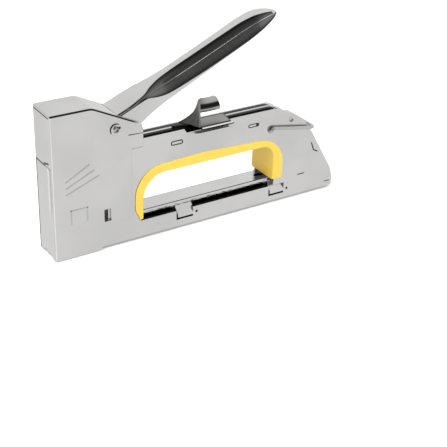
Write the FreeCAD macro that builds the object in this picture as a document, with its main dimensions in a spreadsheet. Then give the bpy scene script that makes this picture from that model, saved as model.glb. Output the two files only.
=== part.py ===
import FreeCAD, Part

import math
import os

import Sketcher

# All-steel staple gun (hand tacker) with its lever up.  Millimetres.
# The tool is drawn with X running from the nose (0) to the rear of the magazine, Y across
# (0 in the mid-plane, the left side negative) and Z up from the foot of the nose.
# Every sub-part is then placed half a body length forward, so the origin of the finished part
# is the middle of its underside.

VECTOR = FreeCAD.Vector
LEFT, RIGHT = -1, 1

SIZES = {
    # overall
    "body_length": 170.0,
    "head_half": 9.8,
    "head_height": 76.7,
    "head_sheet": 1.2,
    "head_front_radius": 1.3,
    "head_crown_radius": 1.0,
    "nose_plate_top": 49.3,
    "nose_plate_half": 7.9,
    # side shells
    "shell_half": 9.5,
    "shell_sheet": 1.2,
    "shell_foot": 1.1,
    "shell_side_top": 51.3,
    "shell_roof_top": 53.3,
    "roof_edge_half": 4.0,
    "shoulder_radius": 0.8,
    "seam_x": 42.0,
    "seam_low": 14.4,
    "ear_low": 51.5,
    "ear_rear": 48.9,
    # top rail and slider
    "rail_half": 3.9,
    "rail_top": 53.6,
    "rail_sheet": 1.0,
    "rail_bend": 1.4,
    "slider_gap": 0.1,
    "slider_sheet": 0.8,
    "rivet_head": 0.15,
    # hand opening and its trim
    "trim_half": 10.1,
    "trim_wall": 1.3,
    "trim_lip_radius": 0.45,
    "bar_top": 10.5,
    # magazine
    "cover_half": 6.0,
    "cover_top": 14.0,
    "cover_sheet": 0.6,
    "cover_bend": 0.9,
    "track_half": 4.4,
    "track_sheet": 0.8,
    "track_low": 1.6,
    "track_top": 11.6,
    "rod_radius": 1.1,
    "rod_height": 7.0,
    # pivots
    "pivot_x": 33.6,
    "pivot_z": 63.6,
    "pin_radius": 2.5,
    "pin_head_radius": 3.1,
    "pin_head_out": 0.55,
    "running_gap": 0.05,
    "bail_x": 124.5,
    "bail_z": 43.4,
    "bail_wire": 0.95,
    "bail_hole": 1.0,
    "bail_leg_half": 10.85,
    # lever
    "lever_half": 8.2,
    "lever_sheet": 1.2,
    "arm_half": 8.15,
    "arm_sheet": 1.25,
    "lever_rise": 25.0,
    "lift_pin_radius": 1.5,
    # striker
    "blade_half": 5.3,
    "blade_front": 1.6,
    "blade_back": 2.8,
    "striker_half": 6.4,
    "ledge_low": 51.2,
    "ledge_top": 54.0,
    "spring_x": 11.0,
    "spring_coil": 4.6,
    "spring_wire": 0.8,
}

doc = FreeCAD.newDocument("staple_gun")


def make_sheet():
    """The driving dimensions, one alias each."""
    sheet = doc.addObject("Spreadsheet::Sheet", "sizes")
    for row, (alias, value) in enumerate(SIZES.items(), 1):
        sheet.set(f"A{row}", alias)
        sheet.set(f"B{row}", str(value))
        sheet.setAlias(f"B{row}", alias)
    doc.recompute()
    return sheet


sizes = make_sheet()


def size(alias):
    """A driving dimension, read back from the sheet."""
    return float(sizes.get(alias))


# --------------------------------------------------------------------------- drawing helpers

PLANES = {"X": ("YZ_Plane", 1), "Y": ("XZ_Plane", -1), "Z": ("XY_Plane", 1)}


def rounded(points):
    """Edges of a closed outline; a point may carry a corner radius as its third value."""
    corners = []
    count = len(points)
    for index, point in enumerate(points):
        here = VECTOR(point[0], point[1], 0)
        radius = point[2] if len(point) > 2 else 0
        if radius == 0:
            corners.append((here, None, here))
            continue
        before = VECTOR(*points[index - 1][:2], 0) - here
        after = VECTOR(*points[(index + 1) % count][:2], 0) - here
        before.normalize()
        after.normalize()
        half_angle = before.getAngle(after) / 2
        reach = radius / math.tan(half_angle)
        inward = before + after
        inward.normalize()
        middle = here + inward * (radius / math.sin(half_angle) - radius)
        corners.append((here + before * reach, middle, here + after * reach))
    edges = []
    for index, (start, middle, end) in enumerate(corners):
        if middle is not None:
            edges.append(Part.Arc(start, middle, end))
        following = corners[(index + 1) % count][0]
        if (following - end).Length > 1e-6:
            edges.append(Part.LineSegment(end, following))
    return edges


def box(low_a, low_b, high_a, high_b, radius=0):
    """A rectangular outline between two corners."""
    return [(low_a, low_b, radius), (high_a, low_b, radius), (high_a, high_b, radius), (low_a, high_b, radius)]


def new_body(label):
    """A body drawn in tool coordinates and placed so that the origin is mid-length."""
    body = doc.addObject("PartDesign::Body", label)
    body.Label = label
    body.setExpression("Placement.Base.x", "-sizes.body_length / 2")
    return body


def new_sketch(body, axis, offset, outlines=(), circles=()):
    """A sketch square to an axis.  circles holds (a, b, radius expression)."""
    role = PLANES[axis][0]
    sketch = body.newObject("Sketcher::SketchObject", body.Label + "_sketch")
    plane = next(item for item in body.Origin.OriginFeatures if item.Role == role)
    sketch.AttachmentSupport = [(plane, "")]
    sketch.MapMode = "FlatFace"
    sketch.setExpression("AttachmentOffset.Base.z", offset)
    for outline in outlines:
        sketch.addGeometry(rounded(outline), False)
    for across, up, radius in circles:
        number = sketch.addGeometry(Part.Circle(VECTOR(across, up, 0), VECTOR(0, 0, 1), 1.0), False)
        constraint = sketch.addConstraint(Sketcher.Constraint("Radius", number, 1.0))
        sketch.setExpression(f"Constraints[{constraint}]", radius)
    return sketch


def add(body, axis, low, high, outlines=(), circles=()):
    """Pad outlines from low to high along an axis.  low and high are expressions."""
    offset = low if PLANES[axis][1] > 0 else f"-({high})"
    sketch = new_sketch(body, axis, offset, outlines, circles)
    pad = body.newObject("PartDesign::Pad", body.Label + "_pad")
    pad.Profile = sketch
    pad.setExpression("Length", f"({high}) - ({low})")
    doc.recompute()
    return pad


def cut(body, axis, low, high, outlines=(), circles=()):
    """Pocket outlines between low and high along an axis, and make sure that it removes something."""
    before = body.Shape.Volume
    offset = high if PLANES[axis][1] > 0 else f"-({low})"
    sketch = new_sketch(body, axis, offset, outlines, circles)
    pocket = body.newObject("PartDesign::Pocket", body.Label + "_pocket")
    pocket.Profile = sketch
    pocket.setExpression("Length", f"({high}) - ({low})")
    doc.recompute()
    if not body.Shape.Volume < before - 1e-3:
        raise RuntimeError(f"a pocket of {body.Label} removes nothing")
    return pocket


def on_side(side, inner, outer):
    """The Y range between two half widths, on the left or the right."""
    if side == RIGHT:
        return inner, outer
    return f"-({outer})", f"-({inner})"


def fillet(body, radius, wanted):
    """Round the edges that wanted(box of the edge, edge) picks."""
    base = body.Tip
    names = [
        f"Edge{number}"
        for number, edge in enumerate(base.Shape.Edges, 1)
        if wanted(edge.BoundBox, edge)
    ]
    if not names:
        raise RuntimeError(f"no edge to round on {body.Label}")
    rounding = body.newObject("PartDesign::Fillet", body.Label + "_fillet")
    rounding.Base = (base, names)
    rounding.setExpression("Radius", radius)
    doc.recompute()
    return rounding


def near(value, target, slack=0.02):
    return abs(value - target) < slack


# --------------------------------------------------------------------------- outlines (X, Z)

ROOF_SLOPE = 0.485              # fall of the head's roof towards its ears
CREST_X = 21.5
EAR_TOP_X = 47.9


def roof_height(station):
    """Height of the head's sloping roof above the foot."""
    return size("head_height") - ROOF_SLOPE * (station - CREST_X)


def head_outline():
    """Side view of the head cover: box front, sloping roof, ears round the lever pivot."""
    return [
        (0, 0),
        (0, size("head_height")),
        (CREST_X, size("head_height"), 8),
        (EAR_TOP_X, roof_height(EAR_TOP_X), 2.2),
        (size("ear_rear"), roof_height(EAR_TOP_X) - 3.2, 1.0),
        (size("ear_rear"), size("ear_low") + 0.2),
        (size("seam_x"), size("ear_low") + 0.2),
        (size("seam_x"), size("seam_low")),
        (25.0, size("seam_low")),
        (25.0, 0, 0.6),
    ]


# The left shell's rear corner stands a little higher than the right one's.
REAR_CORNER = {
    LEFT: [(130.0, size("shell_roof_top"), 6), (139.5, 50.7, 5), (147.0, 46.0, 8)],
    RIGHT: [(130.0, size("shell_roof_top"), 6), (137.4, 50.4, 5), (148.0, 43.2, 6)],
}
REAR_CORNER_INSIDE = {
    LEFT: [(135.7, 50.5), (139.0, 49.6, 4), (146.1, 45.1, 7)],
    RIGHT: [(133.9, 50.5), (136.8, 49.3, 4), (147.2, 42.3, 5)],
}


RIVET_PLACE = {LEFT: (138.4, 47.5), RIGHT: (138.4, 45.8)}


def shell_outline(side):
    """Side view of a body shell, from the seam behind the head to the rear foot."""
    return [
        (25.0, size("shell_foot")),
        (25.0, size("seam_low") - 0.2),
        (size("seam_x") + 0.2, size("seam_low") - 0.2),
        (size("seam_x") + 0.2, size("shell_roof_top")),
        *REAR_CORNER[side],
        (153.3, 37.3, 4),
        (168.4, 12.2, 6),
        (size("body_length"), 6.5, 4),
        (size("body_length"), size("shell_foot"), 1.2),
    ]


def shell_inside(side):
    """The same outline one sheet thickness in, open towards the head and the roof."""
    return [
        (10.0, 2.3),
        (10.0, 50.5),
        *REAR_CORNER_INSIDE[side],
        (152.2, 36.8, 3),
        (167.2, 11.9, 5),
        (168.8, 6.3, 3),
        (168.8, 2.3),
    ]


def trim_outer():
    """Outer edge of the trim's lips."""
    return [
        (46.6, 11.4, 0.5),
        (43.7, 17.0, 6),
        (43.7, 39.2, 16),
        (84.0, 40.7, 120),
        (134.1, 38.6, 16),
        (134.1, 14.6, 0.5),
        (127.6, 14.6, 0.5),
        (127.6, 35.2, 7.5),
        (48.4, 35.0, 13),
        (48.4, 11.4, 0.5),
    ]


def trim_liner():
    """The trim's wall inside the opening, seen from the side."""
    wall = size("trim_wall")
    return [
        (48.4 - wall, 11.4),
        (48.4 - wall, 35.0 + wall, 13 + wall),
        (127.6 + wall, 35.2 + wall, 7.5 + wall),
        (127.6 + wall, 14.6),
        (127.6, 14.6),
        (127.6, 35.2, 7.5),
        (48.4, 35.0, 13),
        (48.4, 11.4),
    ]


def opening_outline():
    """The cut-out of a shell, which the trim lines."""
    wall = size("trim_wall")
    return [
        (48.4 - wall, size("bar_top")),
        (48.4 - wall, 35.0 + wall, 13 + wall),
        (127.6 + wall, 35.2 + wall, 7.5 + wall),
        (127.6 + wall, size("bar_top")),
    ]


# --------------------------------------------------------------------------- head

def make_head_cover():
    """Folded cover: two sides with ears, front wall above the nose plate, top and sloping roof."""
    body = new_body("head_cover")
    add(body, "Y", "-sizes.head_half", "sizes.head_half", [head_outline()])
    fillet(body, "sizes.head_front_radius", lambda b, e: near(b.XMax, 0) and b.ZLength > 60)
    half = size("head_half")
    fillet(
        body, "sizes.head_crown_radius",
        lambda b, e: b.YLength < 0.02 and near(abs(b.YMin), half) and b.ZMin > 60 and b.XMax < 47.9 and b.XLength > 2,
    )
    sheet = size("head_sheet")
    inner_half = "(sizes.head_half - sizes.head_sheet)"
    drop = sheet * math.hypot(1, ROOF_SLOPE)
    hollow = [
        (sheet, -1),
        (sheet, size("head_height") - sheet),
        (CREST_X - 0.3, size("head_height") - sheet),
        (60.0, roof_height(60.0) - drop),
        (60.0, -1),
    ]
    cut(body, "Y", f"-{inner_half}", inner_half, [hollow])
    cut(body, "Y", f"-{inner_half}", inner_half, [box(35.0, 50.0, 60.0, 90.0)])
    cut(body, "Y", "-sizes.nose_plate_half - 0.3", "sizes.nose_plate_half + 0.3",
        [box(-1.0, -1.0, sheet + 0.1, size("nose_plate_top") + 0.3)])
    cut(body, "Y", "-sizes.head_half + 1.6", "sizes.head_half - 1.6",
        [box(-1.0, size("head_height") - 1.75, sheet + 0.1, size("head_height") - 1.2)])
    cut(body, "Y", "-sizes.head_half - 1", "sizes.head_half + 1", [box(26.6, 15.4, 30.4, 22.2, 0.4)],
        [(size("pivot_x"), size("pivot_z"), "sizes.pin_radius")])
    # shallow crease across each ear
    crease = [(40.4, 58.95), (49.5, 58.75), (49.5, 59.05), (40.4, 59.55)]
    for side in (LEFT, RIGHT):
        low, high = on_side(side, "sizes.head_half - 0.3", "sizes.head_half + 1")
        cut(body, "Y", low, high, [crease])
    return body


def make_nose_plate():
    """Hardened front plate of the nose, arched at its foot."""
    body = new_body("nose_plate")
    half = size("nose_plate_half")
    top = size("nose_plate_top")
    outline = [
        (-half, 0), (-6.2, 0, 2), (-3.6, 1.3, 3), (3.6, 1.3, 3), (6.2, 0, 2), (half, 0),
        (half, top, 0.5), (-half, top, 0.5),
    ]
    add(body, "X", "0.1", "sizes.blade_front - 0.1", [outline])
    return body


def make_driver_guide():
    """Block behind the blade: it closes the blade's channel and lets the staples in."""
    body = new_body("driver_guide")
    add(body, "X", "sizes.blade_back + 0.1", "8.0", [box(-8.5, 0.2, 8.5, 24.0, 0.4)])
    for side in (LEFT, RIGHT):
        low, high = on_side(side, "sizes.blade_half + 0.1", "8.1")
        add(body, "Y", low, high, [box(1.5, 0.2, 3.4, 24.0)])
    cut(body, "X", "1.0", "9.0", [box(-6.2, -1.0, 6.2, 15.0)])
    return body


def make_spring_seat():
    """Plate under the head's top with a boss that centres the main spring."""
    body = new_body("spring_seat")
    top = "(sizes.head_height - sizes.head_sheet)"
    add(body, "Z", f"{top} - 0.8", top, [box(3.0, -7.6, 19.5, 7.6, 1.5)])
    add(body, "Z", f"{top} - 4.4", f"{top} - 0.8", circles=[(size("spring_x"), 0, "3.2")])
    return body


def make_striker_bumper():
    """Rubber block that stops the striker."""
    body = new_body("striker_bumper")
    add(body, "Z", "24.2", "27.7", [box(3.0, -6.4, 8.4, 6.4, 0.8)])
    return body


def make_pivot_pin():
    """Through pin with a cupped head at each end."""
    body = new_body("pivot_pin")
    place = [(size("pivot_x"), size("pivot_z"), "sizes.pin_radius")]
    add(body, "Y", "-sizes.head_half", "sizes.head_half", circles=place)
    for side in (LEFT, RIGHT):
        low, high = on_side(side, "sizes.head_half", "sizes.head_half + sizes.pin_head_out")
        add(body, "Y", low, high, circles=[(size("pivot_x"), size("pivot_z"), "sizes.pin_head_radius")])
    half = size("head_half") + size("pin_head_out")
    fillet(body, "0.4", lambda b, e: near(abs(b.YMin), half) and b.XLength > 5)
    for side in (LEFT, RIGHT):
        low, high = on_side(side, "sizes.head_half - 0.6", "sizes.head_half + sizes.pin_head_out + 1")
        cut(body, "Y", low, high, circles=[(size("pivot_x"), size("pivot_z"), "1.7")])
    return body


def make_pivot_washers():
    """Two thin washers between the lever and the head's sides."""
    place = (size("pivot_x"), size("pivot_z"))
    for side in (LEFT, RIGHT):
        low, high = on_side(side, "sizes.lever_half + 0.05", "sizes.head_half - sizes.head_sheet")
        washer = new_body(f"pivot_washer_{'left' if side == LEFT else 'right'}")
        add(washer, "Y", low, high, circles=[(*place, "5.0")])
        cut(washer, "Y", low, high, circles=[(*place, "sizes.pin_radius")])
        yield washer


def coil(label, radius, wire, pitch, turns, place, direction):
    """A wound spring as one solid, its wire swept along a helix."""
    helix = Part.makeHelix(pitch, pitch * turns, radius)
    start = helix.Edges[0].valueAt(helix.Edges[0].FirstParameter)
    tangent = helix.Edges[0].tangentAt(helix.Edges[0].FirstParameter)
    section = Part.Wire(Part.Circle(start, tangent, wire).toShape())
    solid = Part.Wire(helix.Edges).makePipeShell([section], True, True)
    spring = doc.addObject("Part::Feature", label)
    spring.Label = label
    turn = FreeCAD.Rotation(VECTOR(0, 0, 1), direction)
    solid.Placement = FreeCAD.Placement(place, turn)
    spring.Shape = solid
    spring.Placement = FreeCAD.Placement(place + VECTOR(-size("body_length") / 2, 0, 0), turn)
    return spring


def make_main_spring():
    """Compression spring that drives the striker down."""
    foot = size("ledge_top") + size("spring_wire") + 0.05
    rise = size("head_height") - size("head_sheet") - 0.85 - size("spring_wire") - foot
    turns = 6.5
    return coil("main_spring", size("spring_coil"), size("spring_wire"), rise / turns, turns,
                VECTOR(size("spring_x"), 0, foot), VECTOR(0, 0, 1))


def make_return_spring():
    """Small torsion spring wound round the pivot pin."""
    return coil("lever_return_spring", 3.15, 0.4, 1.0, 7, VECTOR(size("pivot_x"), -3.5, size("pivot_z")),
                VECTOR(0, 1, 0))


# --------------------------------------------------------------------------- body

def make_shell(side):
    """Pressed side shell: flat side, sloping roof, flanges at the foot and the rear."""
    body = new_body("left_shell" if side == LEFT else "right_shell")
    low, high = on_side(side, "sizes.roof_edge_half", "sizes.shell_half")
    add(body, "Y", low, high, [shell_outline(side)])
    outer = size("shell_half") * side
    edge = size("roof_edge_half") * side
    slope = (size("shell_roof_top") - size("shell_side_top")) / (outer - edge)

    def roof(across):
        return size("shell_roof_top") - slope * (across - edge)

    beyond, within = outer + 0.5 * side, edge - 0.5 * side
    above = [(beyond, roof(beyond)), (within, roof(within)), (within, 60.0), (beyond, 60.0)]
    cut(body, "X", "20", "150", [above])
    fillet(body, "sizes.shoulder_radius",
           lambda b, e: near(b.YMin, outer) and near(b.YMax, outer) and b.DiagonalLength > 0.1
           and (near(b.ZMin, size("shell_side_top"), 0.2) or b.XMin > 137.0
                or (near(b.ZMax, size("shell_foot")) and b.XLength > 100)))
    # inside
    inner = size("shell_half") - size("shell_sheet")
    low, high = on_side(side, "sizes.roof_edge_half - 1", "sizes.shell_half - sizes.shell_sheet")
    cut(body, "Y", low, high, [shell_inside(side)])
    drop = size("shell_sheet") * math.hypot(1, slope)
    under = [
        (inner * side, 50.0),
        (inner * side, roof(inner * side) - drop),
        (within, roof(within) - drop),
        (within, 50.0),
    ]
    cut(body, "X", "20", "131", [under])
    # rear flanges meet at the mid-plane, above the magazine's way out
    low, high = on_side(side, "0.1", "sizes.shell_half - sizes.shell_sheet")
    add(body, "Y", low, high,
        [[(150.3, 40.4), (153.3, 37.3, 4), (166.9, 14.7), (165.7, 14.6), (152.2, 36.8, 3), (149.5, 39.6)]])
    cut(body, "X", "150", "172", [box(-7.2, 2.3, 7.2, 14.6)])
    # the foot flange stops short of the track
    cut(body, "X", "20", "172", [box(-4.8, 0.5, 4.8, 2.7)])
    # tongue inside the head
    low, high = on_side(side, "sizes.head_half - sizes.head_sheet - 1.2", "sizes.head_half - sizes.head_sheet")
    add(body, "Y", low, high, [box(29.2, 3.0, 45.0, 51.0)])
    # hand opening and the lip along the lower bar
    low, high = on_side(side, "sizes.roof_edge_half - 1", "sizes.shell_half + 1")
    cut(body, "Y", low, high, [opening_outline()])
    low, high = on_side(side, "sizes.shell_half - sizes.shell_sheet - 0.9", "sizes.shell_half - sizes.shell_sheet")
    add(body, "Y", low, high, [box(46.0, size("bar_top") - 1.1, 130.0, size("bar_top"))])
    fillet(body, "0.9",
           lambda b, e: near(b.YMin, outer) and near(b.YMax, outer) and near(b.ZMin, size("bar_top"))
           and near(b.ZMax, size("bar_top")) and b.XLength > 20)
    # two pinched clips that grip the magazine, each above an L-shaped slit
    for station, foot in ((68.1, 5.3), (126.1, 4.5)):
        low, high = on_side(side, "5.0", "sizes.shell_half + 1")
        cut(body, "Y", low, high, [box(station, foot, station + 10.0, size("bar_top") + 0.2)])
        clip = [
            (size("cover_half") * side, 11.9), (size("cover_half") * side, 10.4),
            (inner * side, foot + 1.1), (outer, foot + 1.1), (outer, foot + 2.6),
        ]
        add(body, "X", f"{station} + 0.9", f"{station} + 10.6", [clip])
        cut(body, "Y", low, high, circles=[(station + 12.1, foot + 2.2, "0.7")])
    # pierced holes
    low, high = on_side(side, "sizes.head_half - sizes.head_sheet - 2", "sizes.shell_half + 1")
    cut(body, "Y", low, high, circles=[
        (size("bail_x"), size("bail_z"), "sizes.bail_hole"),
        (*RIVET_PLACE[side], "1.0"),
    ])
    # shallow pressed marks
    low, high = on_side(side, "sizes.shell_half - 0.35", "sizes.shell_half + 1")
    marks = [
        box(64.2, 48.0, 71.3, 50.6, 1.2),
        box(64.9, 48.7, 70.6, 49.9, 0.55),
        box(110.6, 47.9, 117.4, 50.0, 0.9),
        box(111.2, 48.5, 115.6, 49.4, 0.35),
        box(145.0, 12.9, 149.8, 13.6, 0.3),
        box(164.3, 4.2, 168.0, 4.8, 0.2),
        [(152.8, 30.8), (154.7, 25.8), (157.8, 24.2), (158.1, 24.9), (155.4, 26.3), (153.5, 31.0)],
    ]
    cut(body, "Y", low, high, marks)
    if side == LEFT:
        cut(body, "Z", "50.3", "60", [box(74.9, -7.3, 102.0, -3.0)])
    return body


def make_top_rail():
    """Inverted U rail that closes the top of the body and turns down at its rear end."""
    body = new_body("top_rail")
    top = size("rail_top")
    sheet = size("rail_sheet")
    outline = [
        (44.0, 50.6), (44.0, top), (129.8, top, 9), (137.4, 50.9, 9), (143.4, 46.4),
        (141.6, 44.0), (135.95, 48.25, 5), (129.3, 50.6, 5),
    ]
    add(body, "Y", "-sizes.rail_half", "sizes.rail_half", [outline])
    half = size("rail_half")
    fillet(body, "sizes.rail_bend",
           lambda b, e: b.YLength < 0.02 and near(abs(b.YMin), half) and b.ZMin > 46.3 and b.XLength > 1.5
           and (b.ZMax > 50.7 or b.XMin > 138))
    inside = [
        (40.0, 45.0), (40.0, top - sheet), (129.6, top - sheet, 8), (136.9, 50.0, 8), (144.5, 44.3), (138.0, 38.0),
    ]
    cut(body, "Y", "-sizes.rail_half + sizes.rail_sheet", "sizes.rail_half - sizes.rail_sheet", [inside])
    return body


def make_grip_trim():
    """Plastic trim: a wall through the opening and a lip on each side of the body."""
    body = new_body("grip_trim")
    add(body, "Y", "-sizes.shell_half", "sizes.shell_half", [trim_liner()])
    for side in (LEFT, RIGHT):
        low, high = on_side(side, "sizes.shell_half", "sizes.trim_half")
        add(body, "Y", low, high, [trim_outer()])
    half = size("trim_half")
    fillet(body, "sizes.trim_lip_radius", lambda b, e: b.YLength < 0.02 and near(abs(b.YMin), half))
    # the front leg straddles the magazine
    cut(body, "X", "40", "52", [box(-6.3, 11.0, 6.3, 14.3)])
    return body


def make_frame_rivets():
    """The two short rivets through the rear top corner, one per shell."""
    for side in (LEFT, RIGHT):
        place = RIVET_PLACE[side]
        rivet = new_body(f"frame_rivet_{'left' if side == LEFT else 'right'}")
        low, high = on_side(side, "sizes.shell_half - sizes.shell_sheet - 0.6", "sizes.shell_half")
        add(rivet, "Y", low, high, circles=[(*place, "1.0")])
        low, high = on_side(side, "sizes.shell_half", "sizes.shell_half + sizes.rivet_head")
        add(rivet, "Y", low, high, circles=[(*place, "1.4")])
        low, high = on_side(side, "sizes.shell_half - sizes.shell_sheet - 0.6", "sizes.shell_half - sizes.shell_sheet")
        add(rivet, "Y", low, high, circles=[(*place, "1.6")])
        low, high = on_side(side, "sizes.shell_half - 0.3", "sizes.shell_half + sizes.rivet_head + 0.5")
        cut(rivet, "Y", low, high, circles=[(*place, "0.75")])
        yield rivet


# --------------------------------------------------------------------------- magazine

def make_magazine_cover():
    """Inverted U over the staples."""
    body = new_body("magazine_cover")
    half, top, bend = size("cover_half"), size("cover_top"), size("cover_bend")
    inner = half - size("cover_sheet")
    outline = [
        (-half, 2.4), (-inner, 2.4), (-inner, top - size("cover_sheet"), bend * 0.6),
        (inner, top - size("cover_sheet"), bend * 0.6), (inner, 2.4), (half, 2.4), (half, top, bend),
        (-half, top, bend),
    ]
    add(body, "X", "3.0", "150", [outline])
    cut(body, "Z", "sizes.cover_top - 2", "sizes.cover_top + 1", [box(122.2, -1.9, 128.0, 1.1, 1.4)])
    return body


def make_staple_track():
    """Channel whose two walls carry the staples."""
    body = new_body("staple_track")
    half, low, top = size("track_half"), size("track_low"), size("track_top")
    inner = half - size("track_sheet")
    outline = [
        (-half, low, 0.6), (half, low, 0.6), (half, top, 0.3), (inner, top, 0.3), (inner, low + 0.8),
        (-inner, low + 0.8), (-inner, top, 0.3), (-half, top, 0.3),
    ]
    add(body, "X", "3.0", "156", [outline])
    return body


def make_loader_rod():
    """Rod with a front collar; it is drawn out of the rear with the pusher on it."""
    body = new_body("loader_rod")
    add(body, "X", "7.5", "160", circles=[(0, size("rod_height"), "sizes.rod_radius")])
    add(body, "X", "6.0", "7.5", circles=[(0, size("rod_height"), "2.1")])
    return body


def make_end_latch():
    """Rear end piece of the loader, with a finger recess on each side."""
    body = new_body("end_latch")
    outline = [(160.0, 2.6), (160.0, 13.2), (166.4, 13.2, 2.5), (169.4, 7.0, 3), (169.4, 2.6, 1)]
    add(body, "Y", "-6.8", "6.8", [outline])
    for side in (LEFT, RIGHT):
        low, high = on_side(side, "5.4", "8")
        cut(body, "Y", low, high, [box(161.2, 4.2, 166.4, 11.6, 1.2)])
    fillet(body, "0.8", lambda b, e: near(b.XMax, 169.4) and b.YLength < 0.02 and b.ZLength > 1)
    return body


def make_staple_pusher():
    """Saddle that rides on the track behind the staples."""
    body = new_body("staple_pusher")
    top = size("cover_top") - size("cover_sheet")
    outline = [
        (-5.2, 5.0, 0.3), (-4.55, 5.0, 0.3), (-4.55, 11.75), (-3.3, 11.75), (-3.3, 3.2, 0.5),
        (3.3, 3.2, 0.5), (3.3, 11.75), (4.55, 11.75), (4.55, 5.0, 0.3), (5.2, 5.0, 0.3), (5.2, top - 0.2, 0.8),
        (-5.2, top - 0.2, 0.8),
    ]
    add(body, "X", "10", "24", [outline])
    cut(body, "X", "9", "25", circles=[(0, size("rod_height"), "2.45")])
    return body


def make_pusher_spring():
    """Long soft spring on the loader's rod."""
    return coil("pusher_spring", 1.75, 0.35, 4.0, 33, VECTOR(25.0, 0, size("rod_height")), VECTOR(1, 0, 0))


# --------------------------------------------------------------------------- lever

# Sections of the lever, square to its length and measured from the pivot:
# station, half width and height of the top flat, of the side ridge, of the lower crease, and
# height of the bottom edge.
LEVER_SECTIONS = [
    (4.4, 7.9, 4.8, 8.15, 4.2, 8.2, 3.3, -5.9),
    (12.0, 7.7, 4.5, 8.1, 4.0, 8.2, 3.2, -6.6),
    (20.5, 6.6, 4.5, 7.6, 4.0, 8.2, 3.0, -5.3),
    (27.0, 4.2, 5.2, 6.6, 3.6, 8.2, 0.2, -4.7),
    (33.0, 2.9, 5.4, 6.2, 2.9, 8.2, -1.5, -4.5),
    (42.0, 2.4, 5.3, 5.9, 2.4, 8.2, -2.3, -4.4),
    (62.0, 2.5, 5.0, 5.9, 1.9, 8.2, -3.1, -4.1),
    (82.0, 2.9, 4.8, 5.9, 1.6, 8.2, -3.2, -3.8),
    (90.0, 3.4, 4.1, 6.0, 1.2, 8.0, -2.8, -3.4),
    (96.5, 3.8, 2.3, 5.7, 0.3, 7.0, -2.4, -3.0),
    (101.5, 3.2, -0.1, 4.6, -1.0, 5.2, -2.3, -2.8),
    (104.5, 1.8, -1.9, 2.4, -2.2, 2.7, -2.5, -2.9),
]
LIFT_PIN_AT = (-25.1, -3.9)     # centre of the lift pin, from the pivot, along and above the lever


def solid_section(half_top, top, half_side, side, half_low, low, foot):
    """Closed outline (Y, Z) of the lever's outside at one station."""
    right = [(half_low, foot), (half_low, low), (half_side, side), (half_top, top)]
    return right + [(-across, up) for across, up in reversed(right)]


def folded_section(half_top, top, half_side, side, half_low, low, foot):
    """Closed outline (Y, Z) of the folded sheet at one station, open below."""
    sheet = size("lever_sheet")
    outer = solid_section(half_top, top, half_side, side, half_low, low, foot)
    inside = [
        (half_low - sheet, foot), (half_low - sheet, low - sheet * 0.3),
        (half_side - sheet * 0.85, side - sheet * 0.55), (half_top - sheet * 0.6, top - sheet),
    ]
    return outer + [(-across, up) for across, up in inside] + inside[::-1]


def lever_loft(body, name, sections, outline):
    """Add a ruled loft through some of the lever's sections."""
    sketches = [new_sketch(body, "X", f"{station}", [outline(*values)]) for station, *values in sections]
    loft = body.newObject("PartDesign::AdditiveLoft", name)
    loft.Profile = sketches[0]
    loft.Sections = sketches[1:]
    loft.Ruled = True
    doc.recompute()


def place_on_pivot(body):
    """Put a piece drawn in lever coordinates on the pivot, with the lever raised."""
    body.setExpression("Placement.Base.x", "sizes.pivot_x - sizes.body_length / 2")
    body.setExpression("Placement.Base.z", "sizes.pivot_z")
    body.Placement.Rotation = FreeCAD.Rotation(VECTOR(0, 1, 0), -size("lever_rise"))


def make_lever():
    """Folded steel lever: faceted grip, open below, and two arms that reach into the head."""
    body = new_body("lever")
    place_on_pivot(body)
    lever_loft(body, "lever_fold", LEVER_SECTIONS[:-2], folded_section)
    lever_loft(body, "lever_tip", LEVER_SECTIONS[-3:], solid_section)
    arm = [
        (14.0, 3.0), (14.0, -6.4), (5.0, -6.6, 5), (-8.0, -6.4, 10), (-22.0, -8.0, 4), (-28.6, -7.4, 3.2),
        (-28.6, -0.4, 3.2), (-16.0, 0.6, 12), (-5.0, 3.9, 6), (1.6, 3.9),
    ]
    for side in (LEFT, RIGHT):
        low, high = on_side(side, "sizes.arm_half - sizes.arm_sheet", "sizes.arm_half")
        add(body, "Y", low, high, [arm])
    cut(body, "Y", "-sizes.lever_half - 1", "sizes.lever_half + 1",
        circles=[(0, 0, "sizes.pin_radius + sizes.running_gap"), (*LIFT_PIN_AT, "sizes.lift_pin_radius")])
    return body


def make_lift_pin():
    """Cross pin at the end of the lever's arms, which lifts the striker."""
    body = new_body("lift_pin")
    place_on_pivot(body)
    add(body, "Y", "-sizes.arm_half", "sizes.arm_half", circles=[(*LIFT_PIN_AT, "sizes.lift_pin_radius")])
    return body


# --------------------------------------------------------------------------- striker

def make_striker_carriage():
    """Angle that carries the blade; the lift pin raises it by its ledge."""
    body = new_body("striker_carriage")
    back = size("blade_back")
    low, top = size("ledge_low"), size("ledge_top")
    outline = [
        (back, 28.0), (back, top), (17.5, top, 0.8), (17.5, low, 0.8), (back + 2.1, low, 0.8), (back + 2.1, 28.0, 0.5),
    ]
    add(body, "Y", "-sizes.striker_half", "sizes.striker_half", [outline])
    return body


def make_spring_guide():
    """Stud on the carriage that centres the main spring."""
    body = new_body("spring_guide")
    add(body, "Z", "sizes.ledge_top", "sizes.ledge_top + 4", circles=[(size("spring_x"), 0, "3.2")])
    fillet(body, "1.0", lambda b, e: near(b.ZMin, size("ledge_top") + 4))
    return body


def make_driver_blade():
    """Flat blade that pushes one staple out of the nose."""
    body = new_body("driver_blade")
    half = size("blade_half")
    add(body, "X", "sizes.blade_front", "sizes.blade_back", [box(-half, 0.4, half, 50.0, 0.3)])
    cut(body, "X", "1", "4", circles=[(0, 33.0, "1.2"), (0, 44.0, "1.2")])
    return body


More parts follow.
